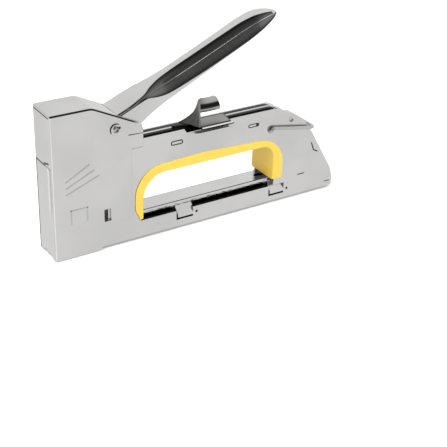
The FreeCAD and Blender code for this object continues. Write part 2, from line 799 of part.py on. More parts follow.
def make_blade_rivets():
    """Two flush rivets that hold the blade to the carriage."""
    for number, height in enumerate((33.0, 44.0)):
        rivet = new_body(f"blade_rivet_{number}")
        add(rivet, "X", "sizes.blade_front", "sizes.blade_back", circles=[(0, height, "1.2")])
        yield rivet


# --------------------------------------------------------------------------- bail and slider

def make_lock_bail():
    """Wire loop that folds over the closed lever; its ends turn in through the shells."""
    wire = size("bail_wire")
    out = size("bail_leg_half")
    start = VECTOR(size("bail_x"), 0, size("bail_z"))
    bend = start + VECTOR(1.3, 0, 1.9)
    rear = start + VECTOR(29.0, 0, -3.1)
    corner = 3.2
    half = [
        start + VECTOR(0, 7.4, 0),
        start + VECTOR(0, out, 0),
        bend + VECTOR(0, out, 0),
        rear + VECTOR(0, out, 0),
    ]
    points = half + [VECTOR(p.x, -p.y, p.z) for p in reversed(half)]
    radii = [0, 1.3, 1.4, corner, corner, 1.4, 1.3, 0]
    edges = []
    last = points[0]
    for index in range(1, len(points) - 1):
        here = points[index]
        before = (points[index - 1] - here).normalize()
        after = (points[index + 1] - here).normalize()
        half_angle = before.getAngle(after) / 2
        reach = radii[index] / math.tan(half_angle)
        inward = (before + after).normalize()
        first = here + before * reach
        middle = here + inward * (radii[index] / math.sin(half_angle) - radii[index])
        second = here + after * reach
        edges.append(Part.LineSegment(last, first).toShape())
        edges.append(Part.Arc(first, middle, second).toShape())
        last = second
    edges.append(Part.LineSegment(last, points[-1]).toShape())
    path = Part.Wire(edges)
    section = Part.Wire(Part.Circle(points[0], points[1] - points[0], wire).toShape())
    bail = doc.addObject("Part::Feature", "lock_bail")
    bail.Label = "lock_bail"
    bail.Shape = path.makePipeShell([section], True, True, 2)
    bail.Placement = FreeCAD.Placement(VECTOR(-size("body_length") / 2, 0, 0), FreeCAD.Rotation())
    return bail


def make_power_slider():
    """Thumb slider: base plate on the rail and left roof, front gusset, upright tab, long tongue."""
    body = new_body("power_slider")
    base = "(sizes.rail_top + sizes.slider_gap)"
    plate = [(82.0, -9.0, 0.5), (99.0, -9.0, 0.5), (101.6, 0.7, 0.5), (82.0, 0.7)]
    tongue = [(70.0, -1.2, 0.5), (82.5, -3.0), (82.5, 0.7), (70.0, 0.7, 0.5)]
    add(body, "Z", base, f"{base} + sizes.slider_sheet", [plate])
    add(body, "Z", base, f"{base} + sizes.slider_sheet", [tongue])
    top = size("rail_top") + size("slider_gap")
    fin = [
        (75.0, top + 0.4), (80.0, 56.6, 6), (84.2, 59.4, 6), (86.2, 65.4, 2.0), (96.6, 65.4, 2.0),
        (98.8, 58.2, 0.8), (86.4, 58.2, 0.5), (86.0, top + 0.4),
    ]
    add(body, "Y", "-0.4", "0.6", [fin])
    return body


def make_slider_shoe():
    """Nylon shoe under the slider's plate; it runs in the notch of the left shell."""
    body = new_body("slider_shoe")
    top = "(sizes.rail_top + sizes.slider_gap)"
    add(body, "Z", f"{top} - 1.6", top, [box(88.0, -6.9, 99.0, -4.3, 0.5)])
    return body


# --------------------------------------------------------------------------- assembly and output

def group(label, pieces):
    """Several separate solids under one name."""
    joined = doc.addObject("Part::Compound", label)
    joined.Label = label
    joined.Links = list(pieces)
    return joined


def make_all():
    return [
        make_head_cover(),
        make_nose_plate(),
        make_driver_guide(),
        make_spring_seat(),
        make_striker_bumper(),
        make_pivot_pin(),
        group("pivot_washers", make_pivot_washers()),
        make_main_spring(),
        make_return_spring(),
        make_shell(LEFT),
        make_shell(RIGHT),
        make_top_rail(),
        make_grip_trim(),
        group("frame_rivets", make_frame_rivets()),
        make_magazine_cover(),
        make_staple_track(),
        make_loader_rod(),
        make_end_latch(),
        make_pusher_spring(),
        make_staple_pusher(),
        make_lever(),
        make_lift_pin(),
        make_striker_carriage(),
        make_spring_guide(),
        make_driver_blade(),
        group("blade_rivets", make_blade_rivets()),
        make_lock_bail(),
        make_power_slider(),
        make_slider_shoe(),
    ]


def check_document():
    """No object may be left failed."""
    for item in doc.Objects:
        if "Invalid" in item.State or "Error" in item.State:
            raise RuntimeError(f"{item.Name} failed: {item.State}")


def write_parts(parts):
    """One STEP file per sub-part, after its shape has been checked."""
    os.makedirs("parts", exist_ok=True)
    for part in parts:
        shape = part.Shape
        if shape.isNull() or not shape.isValid() or not shape.Solids:
            raise RuntimeError(f"{part.Label} has no valid solid")
        shape.exportStep(os.path.join("parts", part.Label + ".step"))
        box_of = shape.BoundBox
        print(f"{part.Label:22s} solids {len(shape.Solids)} volume {shape.Volume:9.1f} "
              f"X {box_of.XMin:7.2f} {box_of.XMax:7.2f} Y {box_of.YMin:6.2f} {box_of.YMax:6.2f} "
              f"Z {box_of.ZMin:6.2f} {box_of.ZMax:6.2f}")


PARTS = make_all()
doc.recompute()
check_document()
write_parts(PARTS)
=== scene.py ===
import math

import bmesh
import bpy
from mathutils import Matrix, Vector


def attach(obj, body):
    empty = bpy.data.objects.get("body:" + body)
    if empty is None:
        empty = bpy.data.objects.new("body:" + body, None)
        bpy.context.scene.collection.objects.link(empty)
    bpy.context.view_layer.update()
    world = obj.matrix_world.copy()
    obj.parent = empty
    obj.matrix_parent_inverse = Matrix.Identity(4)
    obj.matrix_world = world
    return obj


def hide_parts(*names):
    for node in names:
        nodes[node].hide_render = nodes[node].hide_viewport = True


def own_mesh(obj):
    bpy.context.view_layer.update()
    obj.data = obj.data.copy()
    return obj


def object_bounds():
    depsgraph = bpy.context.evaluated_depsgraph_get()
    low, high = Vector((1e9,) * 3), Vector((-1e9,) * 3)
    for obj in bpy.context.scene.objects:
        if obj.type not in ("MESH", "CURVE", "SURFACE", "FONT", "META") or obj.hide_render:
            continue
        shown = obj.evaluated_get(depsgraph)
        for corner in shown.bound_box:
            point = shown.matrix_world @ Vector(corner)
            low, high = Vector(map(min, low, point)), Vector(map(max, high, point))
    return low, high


# All-steel staple gun with its lever up.  Metres, in the row frame: X from the nose to the rear,
# Y across (the left side negative), Z up.  The CAD supplies the frame; this script gives every
# node its finish, replaces the lever and the slider with finer meshes, raises plain marks on the
# head, and swaps two springs for copies that ride on their bodies.

MM = 0.001
HALF_LENGTH = 85.0          # millimetres from the nose to the middle of the body


def at(station, across, height):
    """A point given in millimetres: station from the nose, across the mid-plane, height."""
    return Vector(((station - HALF_LENGTH) * MM, across * MM, height * MM))


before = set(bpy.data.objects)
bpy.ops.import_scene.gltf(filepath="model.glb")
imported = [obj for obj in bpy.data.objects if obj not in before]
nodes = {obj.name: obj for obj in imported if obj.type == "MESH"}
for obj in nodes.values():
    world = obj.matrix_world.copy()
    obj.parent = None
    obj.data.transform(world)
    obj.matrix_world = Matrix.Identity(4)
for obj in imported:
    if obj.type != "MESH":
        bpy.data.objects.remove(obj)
cad_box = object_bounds()
scene = bpy.context.scene


# --------------------------------------------------------------------------- node helpers

class Nodes:
    """Short way to add and link shader nodes."""

    def __init__(self, tree):
        self.tree = tree
        tree.nodes.clear()

    def add(self, kind, inputs=None, **settings):
        node = self.tree.nodes.new(kind)
        for key, value in settings.items():
            setattr(node, key, value)
        for key, value in (inputs or {}).items():
            self.put(node.inputs[key], value)
        return node

    def put(self, socket, value):
        """Set a socket, or link it when the value is another socket."""
        if isinstance(value, bpy.types.NodeSocket):
            self.tree.links.new(value, socket)
        else:
            socket.default_value = value

    def math(self, operation, *values):
        node = self.add("ShaderNodeMath", operation=operation)
        for socket, value in zip(node.inputs, values):
            self.put(socket, value)
        return node.outputs[0]

    def ramp(self, value, low, high, to_low=0.0, to_high=1.0, smooth=True):
        """Map a value from low..high to to_low..to_high, clamped."""
        kind = "SMOOTHSTEP" if smooth else "LINEAR"
        node = self.add("ShaderNodeMapRange", interpolation_type=kind)
        for socket, item in zip(node.inputs, (value, low, high, to_low, to_high)):
            self.put(socket, item)
        return node.outputs[0]

    def mix(self, share, first, second):
        node = self.add("ShaderNodeMix", data_type="RGBA")
        self.put(node.inputs[0], share)
        self.put(node.inputs[6], first)
        self.put(node.inputs[7], second)
        return node.outputs[2]

    def noise(self, scale, detail=3.0, roughness=0.55, vector=None):
        node = self.add("ShaderNodeTexNoise", {"Scale": scale, "Detail": detail, "Roughness": roughness})
        if vector is not None:
            self.put(node.inputs["Vector"], vector)
        return node.outputs[0]

    def place(self, scale=(1.0, 1.0, 1.0)):
        """Object coordinates, scaled."""
        spot = self.add("ShaderNodeTexCoord").outputs["Object"]
        node = self.add("ShaderNodeMapping", {"Vector": spot, "Scale": scale})
        return node.outputs[0]


def grey(value):
    return (value, value, value, 1.0)


def new_material(name):
    material = bpy.data.materials.new(name)
    material.use_nodes = True
    return material, Nodes(material.node_tree)


def crevice(tree, distance):
    """How open a point is, 0 in a crevice and 1 in the open."""
    return tree.add("ShaderNodeAmbientOcclusion", {"Distance": distance}, samples=8).outputs["AO"]


def split(tree, output):
    """X, Y and Z of one of the texture coordinate node's outputs."""
    vector = tree.add("ShaderNodeTexCoord").outputs[output]
    return tree.add("ShaderNodeSeparateXYZ", {"Vector": vector}).outputs


def side_distance(tree, spot, station, height):
    """Distance in the side view, in metres, from a point given in millimetres."""
    run = tree.math("SUBTRACT", spot["X"], (station - HALF_LENGTH) * MM)
    rise = tree.math("SUBTRACT", spot["Z"], height * MM)
    total = tree.math("ADD", tree.math("MULTIPLY", run, run), tree.math("MULTIPLY", rise, rise))
    return tree.math("SQRT", total)


def metal(name, colour, roughness, grain=(1.0, 1.0, 1.0), grain_depth=0.03, crease_shade=0.0, mottle=0.04,
          smudge=0.05, tint=None):
    """Plated or drawn steel: fine grain, faint smudges, slow colour drift and painted shade in the creases.
    """
    material, tree = new_material(name)
    fine = tree.noise(900.0, 4.0, 0.6, tree.place(grain))
    slow = tree.noise(28.0, 3.0, 0.5, tree.place())
    film = tree.noise(95.0, 5.0, 0.65, tree.place())
    dark = tuple(c * (1 - mottle) for c in colour) + (1.0,)
    light = tuple(min(1.0, c * (1 + mottle)) for c in colour) + (1.0,)
    paint = tree.mix(tree.ramp(slow, 0.35, 0.65), dark, light)
    # painted light: the tint function paints shade and reflections into the colour
    if tint is not None:
        paint = tint(tree, paint)
    # painted shade: the colour darkens in creases, from ambient occlusion
    if crease_shade > 0:
        open_share = tree.ramp(crevice(tree, 0.0014), 0.2, 0.8)
        crease_shade_colour = tuple(c * (1 - crease_shade) for c in colour) + (1.0,)
        paint = tree.mix(open_share, crease_shade_colour, paint)
    rough = tree.math("ADD", tree.ramp(film, 0.35, 0.75, roughness - smudge * 0.5, roughness + smudge),
                      tree.ramp(fine, 0.3, 0.7, -0.02, 0.02))
    bump = tree.add("ShaderNodeBump", {"Strength": grain_depth, "Distance": 0.0002, "Height": fine})
    shader = tree.add("ShaderNodeBsdfPrincipled", {
        "Base Color": paint, "Metallic": 1.0, "Roughness": rough, "Normal": bump.outputs[0],
    })
    output = tree.add("ShaderNodeOutputMaterial")
    tree.put(output.inputs[0], shader.outputs[0])
    return material


def plastic(name, colour, shade, roughness, grain=0.05, coat=0.0, tint=None):
    """Moulded plastic: fine leather-like grain, scuffs and painted shade in its hollows."""
    material, tree = new_material(name)
    pores = tree.noise(1500.0, 3.0, 0.6, tree.place())
    scuff = tree.noise(60.0, 6.0, 0.7, tree.place((1.0, 1.0, 3.0)))
    # painted shade: the colour deepens in hollows, from ambient occlusion
    open_share = tree.ramp(crevice(tree, 0.006), 0.35, 0.95)
    bright = tuple(min(1.0, c * 1.06) for c in colour[:3]) + (1.0,)
    worn = tree.mix(tree.ramp(scuff, 0.4, 0.75), colour, bright)
    paint = tree.mix(open_share, shade, worn)
    # painted light: the tint function paints shade into the colour
    if tint is not None:
        paint = tint(tree, paint)
    rough = tree.ramp(scuff, 0.3, 0.8, roughness - 0.05, roughness + 0.1)
    bump = tree.add("ShaderNodeBump", {"Strength": grain, "Distance": 0.0002, "Height": pores})
    shader = tree.add("ShaderNodeBsdfPrincipled", {
        "Base Color": paint, "Roughness": rough, "Normal": bump.outputs[0], "Coat Weight": coat,
        "Coat Roughness": 0.15,
    })
    output = tree.add("ShaderNodeOutputMaterial")
    tree.put(output.inputs[0], shader.outputs[0])
    return material


# --------------------------------------------------------------------------- materials

def rail_painted_reflection(tree, paint):
    """The rail is bright along its middle, with a painted dark reflection down its flanks, up to its bend."""
    spot = split(tree, "Object")
    across = tree.math("ABSOLUTE", spot["Y"])
    flank = tree.ramp(across, 0.6 * MM, 0.85 * MM)
    bend = tree.math("ADD", spot["X"], tree.math("MULTIPLY", spot["Y"], 0.5))
    flank = tree.math("MULTIPLY", flank, tree.ramp(bend, 45.5 * MM, 48.5 * MM, 1.0, 0.0))
    return tree.mix(flank, paint, grey(0.004))


def pressed(tree, spot, normal, low, high):
    """1 on the floor of a mark pressed into the side, between two half widths in millimetres."""
    across = tree.math("ABSOLUTE", spot["Y"])
    floor_level = tree.math("MULTIPLY", tree.math("GREATER_THAN", across, low * MM),
                            tree.math("LESS_THAN", across, high * MM))
    upright = tree.math("GREATER_THAN", tree.math("ABSOLUTE", normal["Y"]), 0.9)
    return tree.math("MULTIPLY", floor_level, upright)


def shell_painted_shade(tree, paint):
    """Painted shade in the pressed marks, on the roof edges beside the rail and on the bar's top under the
    hand.
    """
    spot = split(tree, "Object")
    normal = split(tree, "Normal")
    marks = pressed(tree, spot, normal, 8.8, 9.35)
    above_bar = tree.math("ABSOLUTE", tree.math("SUBTRACT", spot["Z"], 10.45 * MM))
    bar = tree.math("MULTIPLY", tree.math("LESS_THAN", above_bar, 0.12 * MM),
                    tree.math("GREATER_THAN", normal["Z"], 0.8))
    roof = tree.math("MULTIPLY", tree.math("LESS_THAN", tree.math("ABSOLUTE", spot["Y"]), 4.4 * MM),
                     tree.math("GREATER_THAN", spot["Z"], 52.9 * MM))
    roof = tree.math("MULTIPLY", roof, tree.math("LESS_THAN", spot["X"], 45.0 * MM))
    return tree.mix(tree.math("MAXIMUM", tree.math("MAXIMUM", marks, bar), roof), paint, grey(0.03))


def cover_painted_shade(tree, paint):
    """Painted shade on the magazine's sides under its rounded top edge, and a painted dark reflection along
    that edge.
    """
    spot = split(tree, "Object")
    wave = tree.ramp(tree.noise(45.0, 1.0, 0.4), 0.3, 0.7, -1.0 * MM, 0.6 * MM)
    side = tree.ramp(tree.math("ADD", spot["Z"], wave), 11.8 * MM, 12.4 * MM, 1.0, 0.0)
    across = tree.math("ABSOLUTE", spot["Y"])
    edge = tree.math("MULTIPLY", tree.ramp(across, 5.0 * MM, 5.15 * MM),
                     tree.ramp(across, 5.35 * MM, 5.5 * MM, 1.0, 0.0))
    edge = tree.math("MULTIPLY", edge, tree.math("GREATER_THAN", spot["Z"], 13.0 * MM))
    return tree.mix(tree.math("MAXIMUM", side, edge), paint, grey(0.015))


def slider_painted_light(tree, paint):
    """Painted dark reflections on the tongue and along the plate's near edge, and painted shade along its
    rear edge.
    """
    spot = split(tree, "Object")
    tongue = tree.ramp(spot["X"], -3.6 * MM, -2.8 * MM, 1.0, 0.0)
    near = tree.ramp(spot["Y"], -8.5 * MM, -8.2 * MM, 1.0, 0.0)
    slant = tree.math("SUBTRACT", spot["X"], tree.math("MULTIPLY", spot["Y"], 0.17))
    rear = tree.ramp(slant, 15.9 * MM, 16.15 * MM)
    dark = tree.math("MAXIMUM", tongue, tree.math("MAXIMUM", near, rear))
    return tree.mix(dark, paint, (0.045, 0.044, 0.038, 1.0))


def head_painted_light(tree, paint):
    """Painted dark reflections on the folds round the head's top; painted shade in the crease behind the pin
    and a knot over the nose plate.
    """
    normal = split(tree, "Normal")
    spot = split(tree, "Object")
    fold = tree.math("MULTIPLY", tree.ramp(normal["Z"], 0.12, 0.3),
                     tree.ramp(tree.math("ABSOLUTE", normal["Y"]), 0.2, 0.4))
    fold = tree.math("MULTIPLY", fold, tree.ramp(spot["Z"], 64.0 * MM, 66.0 * MM))
    lip = tree.math("MULTIPLY", tree.ramp(spot["X"], -84.6 * MM, -84.9 * MM, 0.0, 1.0),
                    tree.ramp(spot["Z"], 76.2 * MM, 76.5 * MM))
    crease = pressed(tree, spot, normal, 9.3, 9.65)
    dark = tree.math("MAXIMUM", tree.math("MAXIMUM", fold, lip), crease)
    rise = tree.math("ADD", spot["Z"], tree.math("MULTIPLY", spot["Y"], 0.28))
    off_line = tree.math("ABSOLUTE", tree.math("SUBTRACT", rise, 49.8 * MM))
    knot = tree.ramp(off_line, 0.4 * MM, 0.75 * MM, 0.9, 0.0)
    knot = tree.math("MULTIPLY", knot, tree.ramp(spot["Y"], -6.9 * MM, -6.0 * MM))
    knot = tree.math("MULTIPLY", knot, tree.ramp(spot["Y"], -1.2 * MM, -0.2 * MM, 1.0, 0.0))
    knot = tree.math("MULTIPLY", knot, tree.math("LESS_THAN", spot["X"], -84.6 * MM))
    return tree.mix(tree.math("MAXIMUM", dark, knot), paint, grey(0.03))


def nose_plate_painted_light(tree, paint):
    """A painted shade line where the nose plate's top meets the head, and a painted highlight streak with
    painted shade beside it.
    """
    spot = split(tree, "Object")
    upper = tree.ramp(spot["Z"], 25.0 * MM, 28.0 * MM)
    streak = tree.math("MULTIPLY", tree.ramp(spot["Y"], -5.9 * MM, -5.3 * MM),
                       tree.ramp(spot["Y"], -4.6 * MM, -4.0 * MM, 1.0, 0.0))
    shadow = tree.math("MULTIPLY", tree.ramp(spot["Y"], -8.3 * MM, -7.6 * MM),
                       tree.ramp(spot["Y"], -6.9 * MM, -6.2 * MM, 1.0, 0.0))
    paint = tree.mix(tree.math("MULTIPLY", streak, upper), paint, grey(0.96))
    paint = tree.mix(tree.math("MULTIPLY", shadow, upper), paint, grey(0.6))
    line = tree.math("MULTIPLY", tree.ramp(spot["Z"], 48.5 * MM, 48.8 * MM),
                     tree.ramp(spot["Y"], -2.5 * MM, -0.5 * MM, 0.35, 1.0))
    return tree.mix(line, paint, grey(0.03))


def trim_painted_shade(tree, paint):
    """Painted shade on the rolled edge round the outside of the trim's lips, deepest at the front."""
    spot = split(tree, "Object")
    normal = split(tree, "Normal")
    lip = tree.ramp(tree.math("ABSOLUTE", spot["Y"]), 9.6 * MM, 9.9 * MM)
    front = tree.math("MULTIPLY", lip, tree.ramp(normal["X"], -0.75, -0.25, 1.0, 0.0))
    front = tree.math("MULTIPLY", front, tree.math("LESS_THAN", spot["X"], -22.0 * MM))
    return tree.mix(front, paint, (0.20, 0.105, 0.012, 1.0))


def pin_painted_shade(tree, paint):
    """Peened pin: painted shade in the hollows high in its cup and a painted shade arc round its head."""
    spot = split(tree, "Object")
    hollow = tree.ramp(side_distance(tree, spot, 35.3, 64.3), 0.5 * MM, 0.95 * MM, 1.0, 0.0)
    cup = tree.ramp(side_distance(tree, spot, 33.2, 64.5), 0.8 * MM, 1.7 * MM, 0.85, 0.0)
    ring = tree.ramp(side_distance(tree, spot, 33.6, 63.6), 2.6 * MM, 2.85 * MM)
    left = tree.ramp(tree.math("SUBTRACT", spot["Z"], spot["X"]), 115.2 * MM, 116.6 * MM)
    dark = tree.math("MAXIMUM", tree.math("MAXIMUM", hollow, cup), tree.math("MULTIPLY", ring, left))
    return tree.mix(dark, paint, grey(0.03))


def rivet_painted_shade(tree, paint):
    """Painted shade round the lower half of each rivet's head."""
    spot = split(tree, "Object")
    ring = tree.ramp(side_distance(tree, spot, 138.4, 47.9), 1.15 * MM, 1.4 * MM)
    ring = tree.math("MULTIPLY", ring, tree.math("LESS_THAN", spot["Z"], 47.3 * MM))
    return tree.mix(ring, paint, grey(0.03))


def painted_shade_by_attribute(deep):
    """Painted shade: darken where the mesh's own shade attribute is low, down to the deep grey."""
    def tint(tree, paint):
        share = tree.add("ShaderNodeAttribute", attribute_name="shade").outputs["Fac"]
        return tree.mix(share, grey(deep), paint)
    return tint


NICKEL = (0.74, 0.735, 0.725)
SHELL_PLATE = metal("nickel_plate_shell", NICKEL, 0.2, crease_shade=0.35, tint=shell_painted_shade)
HEAD_PLATE = metal("nickel_plate_head", NICKEL, 0.2, crease_shade=0.45, tint=head_painted_light)
# the raised marks are darker than the plate, as painted shade
MARK_PAINTED_SHADE = metal("nickel_plate_mark_painted_shade", (0.62, 0.615, 0.605), 0.24, crease_shade=0.2)
NOSE_PLATE = metal("nickel_plate_nose", NICKEL, 0.2, crease_shade=0.3, tint=nose_plate_painted_light)
RIVET_PLATE = metal("nickel_plate_rivet", NICKEL, 0.2, crease_shade=0.5, tint=rivet_painted_shade)
PIN_PLATE = metal("nickel_plate_pin", NICKEL, 0.2, crease_shade=0.5, tint=pin_painted_shade)
LEVER_PLATE = metal("nickel_plate_lever", NICKEL, 0.16, crease_shade=0.3)
# painted dark reflections: the lever's side and the strips on its folds
LEAF_PAINTED_REFLECTION = metal("lever_side_painted_reflection", (0.20, 0.20, 0.197), 0.2, crease_shade=0.3, mottle=0.1,
                   tint=painted_shade_by_attribute(0.02))
FOLD_PAINTED_REFLECTION = metal("lever_fold_painted_reflection", (0.05, 0.05, 0.048), 0.3, mottle=0.1)
# the tab's shade values paint a dark reflection across its middle
TAB_STEEL = metal("slider_tab_steel", (0.62, 0.61, 0.59), 0.26, crease_shade=0.3, mottle=0.08, tint=painted_shade_by_attribute(0.015))
PLATE_STEEL = metal("slider_plate_steel", (0.40, 0.395, 0.38), 0.34, grain=(1.0, 0.08, 1.0), grain_depth=0.12,
                    crease_shade=0.3, mottle=0.16, tint=slider_painted_light)
# painted highlight: the slider's lip is brighter than the plating
LIP_PAINTED_HIGHLIGHT = metal("lip_painted_highlight", (0.97, 0.965, 0.95), 0.14)
# painted shadow: a near-black strip under the slider's lip
LIP_PAINTED_SHADOW = metal("lip_painted_shadow", (0.015, 0.015, 0.014), 0.4, mottle=0.1)
COVER_PLATE = metal("nickel_plate_cover", (0.76, 0.755, 0.75), 0.16, grain=(0.05, 1.0, 1.0), grain_depth=0.06,
                    crease_shade=0.4, tint=cover_painted_shade)
RAIL_STEEL = metal("rail_steel", NICKEL, 0.18, grain=(0.05, 1.0, 1.0), tint=rail_painted_reflection)
ZINC = metal("zinc_plate", (0.55, 0.545, 0.52), 0.34, grain=(0.1, 1.0, 1.0), grain_depth=0.1, crease_shade=0.5,
             mottle=0.1)
DARK_STEEL = metal("hardened_steel", (0.20, 0.20, 0.205), 0.36, crease_shade=0.5, mottle=0.15)
# painted dark reflection on the CAD slider, which is hidden
SLIDER_PAINTED_REFLECTION = metal("slider_painted_reflection", (0.15, 0.145, 0.125), 0.3, grain=(1.0, 0.1, 1.0), grain_depth=0.1,
                    crease_shade=0.5, mottle=0.12)
# the web's shade values paint a dark reflection across it, lightest along its near edge
WEB_STEEL = metal("slider_web_steel", (0.42, 0.415, 0.385), 0.3, crease_shade=0.5, mottle=0.2, tint=painted_shade_by_attribute(0.05))
WIRE = metal("drawn_wire", (0.62, 0.615, 0.60), 0.22, crease_shade=0.4, mottle=0.06)
YELLOW = plastic("yellow_plastic", (0.74, 0.52, 0.062, 1.0), (0.64, 0.41, 0.008, 1.0), 0.4, coat=0.1,
                 tint=trim_painted_shade)
NYLON = plastic("white_nylon", (0.78, 0.78, 0.75, 1.0), (0.5, 0.5, 0.47, 1.0), 0.5)
RUBBER = plastic("black_rubber", (0.03, 0.03, 0.03, 1.0), (0.015, 0.015, 0.015, 1.0), 0.7, grain=0.2)

FINISH = {
    "head_cover": HEAD_PLATE, "nose_plate": NOSE_PLATE, "left_shell": SHELL_PLATE,
    "right_shell": SHELL_PLATE,
    "pivot_pin": PIN_PLATE,
    "magazine_cover": COVER_PLATE, "top_rail": RAIL_STEEL, "frame_rivets": RIVET_PLATE, "lever": LEVER_PLATE,
    "driver_guide": ZINC, "spring_seat": ZINC, "staple_track": ZINC, "loader_rod": ZINC, "end_latch": ZINC,
    "staple_pusher": ZINC, "blade_rivets": ZINC, "slider_shoe": NYLON, "pivot_washers": NYLON,
    "power_slider": SLIDER_PAINTED_REFLECTION, "striker_bumper": RUBBER, "grip_trim": YELLOW,
    "lift_pin": DARK_STEEL, "striker_carriage": DARK_STEEL,
    "spring_guide": DARK_STEEL, "driver_blade": DARK_STEEL,
    "main_spring": WIRE, "lever_return_spring": WIRE, "pusher_spring": WIRE, "lock_bail": WIRE,
}
for name, material in FINISH.items():
    node = nodes[name]
    node.data.materials.clear()
    node.data.materials.append(material)
nodes["grip_trim"].visible_glossy = False


# --------------------------------------------------------------------------- mesh helpers

def new_piece(name, build, materials, body, smooth=30.0):
    """A mesh object filled by build(bm), shaded smooth up to an angle, riding on a body."""
    mesh = bpy.data.meshes.new(name)
    piece = bpy.data.objects.new(name, mesh)
    scene.collection.objects.link(piece)
    bm = bmesh.new()
    build(bm)
    bmesh.ops.recalc_face_normals(bm, faces=bm.faces)
    limit = math.radians(smooth)
    for face in bm.faces:
        face.smooth = True
    for edge in bm.edges:
        if len(edge.link_faces) != 2 or edge.calc_face_angle(0.0) > limit:
            edge.smooth = False
    bm.to_mesh(mesh)
    bm.free()
    for material in materials:
        mesh.materials.append(material)
    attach(piece, body)
    return piece


def bevel(piece, width, segments=3, angle=25.0):
    modifier = piece.modifiers.new("edges", "BEVEL")
    modifier.width = width
    modifier.segments = segments
    modifier.limit_method = "ANGLE"
    modifier.angle_limit = math.radians(angle)
    modifier.harden_normals = True


def grid_faces(bm, rows, closed=False):
    """Quads between rows of vertices; closed joins each row's end to its start."""
    made = []
    for first, second in zip(rows, rows[1:]):
        count = len(first)
        for index in range(count if closed else count - 1):
            after = (index + 1) % count
            made.append(bm.faces.new((first[index], first[after], second[after], second[index])))
    return made


def hermite(stations, values, where):
    """Smooth interpolation of a table that doesn't overshoot its values."""
    count = len(stations)
    slopes = [(values[i + 1] - values[i]) / (stations[i + 1] - stations[i]) for i in range(count - 1)]
    tangents = [slopes[0]]
    for i in range(1, count - 1):
        if slopes[i - 1] * slopes[i] <= 0:
            tangents.append(0.0)
        else:
            tangents.append(2 * slopes[i - 1] * slopes[i] / (slopes[i - 1] + slopes[i]))
    tangents.append(slopes[-1])
    i = max(k for k in range(count - 1) if stations[k] <= where or k == 0)
    length = stations[i + 1] - stations[i]
    t = min(max((where - stations[i]) / length, 0.0), 1.0)
    return (
        values[i] * (1 + 2 * t) * (1 - t) ** 2
        + tangents[i] * length * t * (1 - t) ** 2
        + values[i + 1] * t * t * (3 - 2 * t)
        + tangents[i + 1] * length * t * t * (t - 1)
    )


# --------------------------------------------------------------------------- lever

LEVER_RISE = math.radians(25.0)
PIVOT = at(33.6, 0.0, 63.6)
LEVER_PLACE = Matrix.Translation(PIVOT) @ Matrix.Rotation(-LEVER_RISE, 4, "Y")
LEVER_SECTIONS = [  # along, half width and height of: top edge, side ridge, lower edge; height of the foot
    (4.4, 7.9, 4.8, 8.15, 4.2, 8.2, 3.3, -5.9),
    (12.0, 7.7, 4.5, 8.1, 4.0, 8.2, 3.2, -6.6),
    (20.5, 6.6, 4.5, 7.6, 4.0, 8.2, 3.0, -5.3),
    (27.0, 4.2, 5.2, 6.6, 3.6, 8.2, 0.2, -4.7),
    (33.0, 2.9, 5.4, 6.2, 2.9, 8.2, -1.5, -4.5),
    (42.0, 2.4, 5.3, 5.9, 2.4, 8.2, -2.3, -4.4),
    (62.0, 2.5, 5.0, 5.9, 1.9, 8.2, -3.1, -4.1),
    (82.0, 2.9, 4.8, 5.9, 1.6, 8.2, -3.2, -3.8),
    (90.0, 3.4, 4.1, 6.0, 1.2, 8.0, -2.8, -3.4),
    (96.5, 3.8, 2.3, 5.7, 0.3, 7.0, -2.4, -3.0),
    (101.5, 3.2, -0.1, 4.6, -1.0, 5.2, -2.3, -2.8),
    (104.5, 1.8, -1.9, 2.4, -2.2, 2.7, -2.5, -2.9),
]
LEVER_SHEET = 1.2


def lever_at(along):
    """The lever's section values at a distance from the pivot."""
    stations = [row[0] for row in LEVER_SECTIONS]
    return [hermite(stations, [row[k] for row in LEVER_SECTIONS], along) for k in range(1, 8)]


